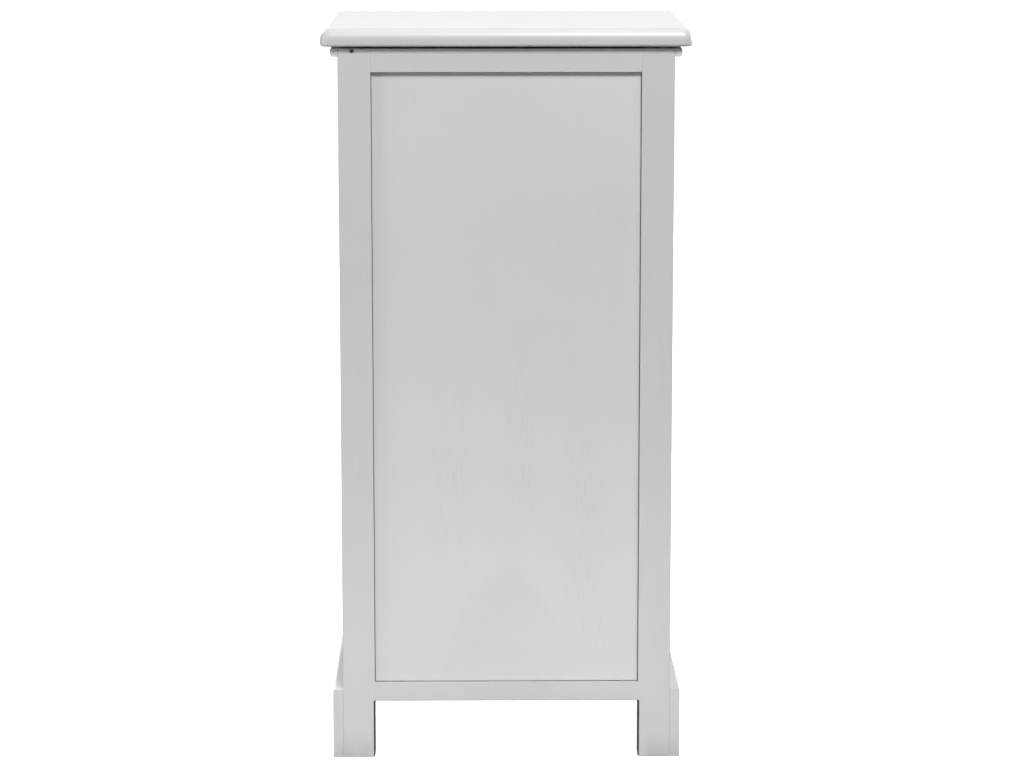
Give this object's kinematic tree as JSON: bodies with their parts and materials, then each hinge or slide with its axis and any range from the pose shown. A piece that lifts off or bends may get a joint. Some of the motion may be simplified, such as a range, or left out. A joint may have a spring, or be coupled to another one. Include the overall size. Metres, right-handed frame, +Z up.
{
  "type": "apothecary cabinet",
  "caption": "Narrow free-standing painted cabinet with a moulded top, framed sides and back, an arched skirt with feet, and small sliding drawers with round knobs.",
  "frame": {"origin": "on the floor, under the middle of the cabinet with its knobs", "axes": "+Z up; the drawers open towards -Y; +X is to the right of a person facing the drawers"},
  "size_m": [0.396, 0.325, 0.8],
  "materials": {
    "top_paint": "satin white paint",
    "frame_paint": "satin white paint",
    "panel_paint": "thin matt white paint with the grain showing faintly",
    "drawer_paint": "satin white paint",
    "inner_paint": "thin white paint",
    "bare_wood": "unpainted sanded wood",
    "brass": "aged satin",
    "dark_steel": "dark"
  },
  "bodies": {
    "cabinet": {"top_board": "top_paint", "moulding_left": "frame_paint", "moulding_right": "frame_paint", "moulding_front": "frame_paint", "rear_leg_left": "frame_paint", "rear_leg_right": "frame_paint", "rear_top_rail": "frame_paint", "rear_bottom_rail": "frame_paint", "back_panel": "panel_paint", "front_leg_left": "frame_paint", "front_leg_right": "frame_paint", "front_top_rail": "frame_paint", "front_bottom_rail": "frame_paint", "side_top_rail_left": "frame_paint", "side_bottom_rail_left": "frame_paint", "side_panel_left": "panel_paint", "side_top_rail_right": "frame_paint", "side_bottom_rail_right": "frame_paint", "side_panel_right": "panel_paint", "rear_screw": "dark_steel", "side_skirt_left": "frame_paint", "side_skirt_right": "frame_paint", "front_skirt": "frame_paint", "cabinet_bottom": "inner_paint", "shelf_1": "inner_paint", "shelf_2": "inner_paint", "shelf_3": "inner_paint", "shelf_4": "inner_paint", "centre_partition": "inner_paint"},
    "drawer_r1_left": {"drawer_front_r1_left": "drawer_paint", "drawer_box_r1_left": "bare_wood", "knob_r1_left": "brass"},
    "drawer_r1_right": {"drawer_front_r1_right": "drawer_paint", "drawer_box_r1_right": "bare_wood", "knob_r1_right": "brass"},
    "drawer_r2_left": {"drawer_front_r2_left": "drawer_paint", "drawer_box_r2_left": "bare_wood", "knob_r2_left": "brass"},
    "drawer_r2_right": {"drawer_front_r2_right": "drawer_paint", "drawer_box_r2_right": "bare_wood", "knob_r2_right": "brass"},
    "drawer_r3_left": {"drawer_front_r3_left": "drawer_paint", "drawer_box_r3_left": "bare_wood", "knob_r3_left": "brass"},
    "drawer_r3_right": {"drawer_front_r3_right": "drawer_paint", "drawer_box_r3_right": "bare_wood", "knob_r3_right": "brass"},
    "drawer_r4_left": {"drawer_front_r4_left": "drawer_paint", "drawer_box_r4_left": "bare_wood", "knob_r4_left": "brass"},
    "drawer_r4_right": {"drawer_front_r4_right": "drawer_paint", "drawer_box_r4_right": "bare_wood", "knob_r4_right": "brass"},
    "drawer_r5_left": {"drawer_front_r5_left": "drawer_paint", "drawer_box_r5_left": "bare_wood", "knob_r5_left": "brass"},
    "drawer_r5_right": {"drawer_front_r5_right": "drawer_paint", "drawer_box_r5_right": "bare_wood", "knob_r5_right": "brass"}
  },
  "joints": [
    {"name": "drawer_r1_left_slide", "type": "slide", "parent": "cabinet", "child": "drawer_r1_left", "axis": [0, -1, 0], "range_m": [0, 0.2]},
    {"name": "drawer_r1_right_slide", "type": "slide", "parent": "cabinet", "child": "drawer_r1_right", "axis": [0, -1, 0], "range_m": [0, 0.2]},
    {"name": "drawer_r2_left_slide", "type": "slide", "parent": "cabinet", "child": "drawer_r2_left", "axis": [0, -1, 0], "range_m": [0, 0.2]},
    {"name": "drawer_r2_right_slide", "type": "slide", "parent": "cabinet", "child": "drawer_r2_right", "axis": [0, -1, 0], "range_m": [0, 0.2]},
    {"name": "drawer_r3_left_slide", "type": "slide", "parent": "cabinet", "child": "drawer_r3_left", "axis": [0, -1, 0], "range_m": [0, 0.2]},
    {"name": "drawer_r3_right_slide", "type": "slide", "parent": "cabinet", "child": "drawer_r3_right", "axis": [0, -1, 0], "range_m": [0, 0.2]},
    {"name": "drawer_r4_left_slide", "type": "slide", "parent": "cabinet", "child": "drawer_r4_left", "axis": [0, -1, 0], "range_m": [0, 0.2]},
    {"name": "drawer_r4_right_slide", "type": "slide", "parent": "cabinet", "child": "drawer_r4_right", "axis": [0, -1, 0], "range_m": [0, 0.2]},
    {"name": "drawer_r5_left_slide", "type": "slide", "parent": "cabinet", "child": "drawer_r5_left", "axis": [0, -1, 0], "range_m": [0, 0.2]},
    {"name": "drawer_r5_right_slide", "type": "slide", "parent": "cabinet", "child": "drawer_r5_right", "axis": [0, -1, 0], "range_m": [0, 0.2]}
  ]
}
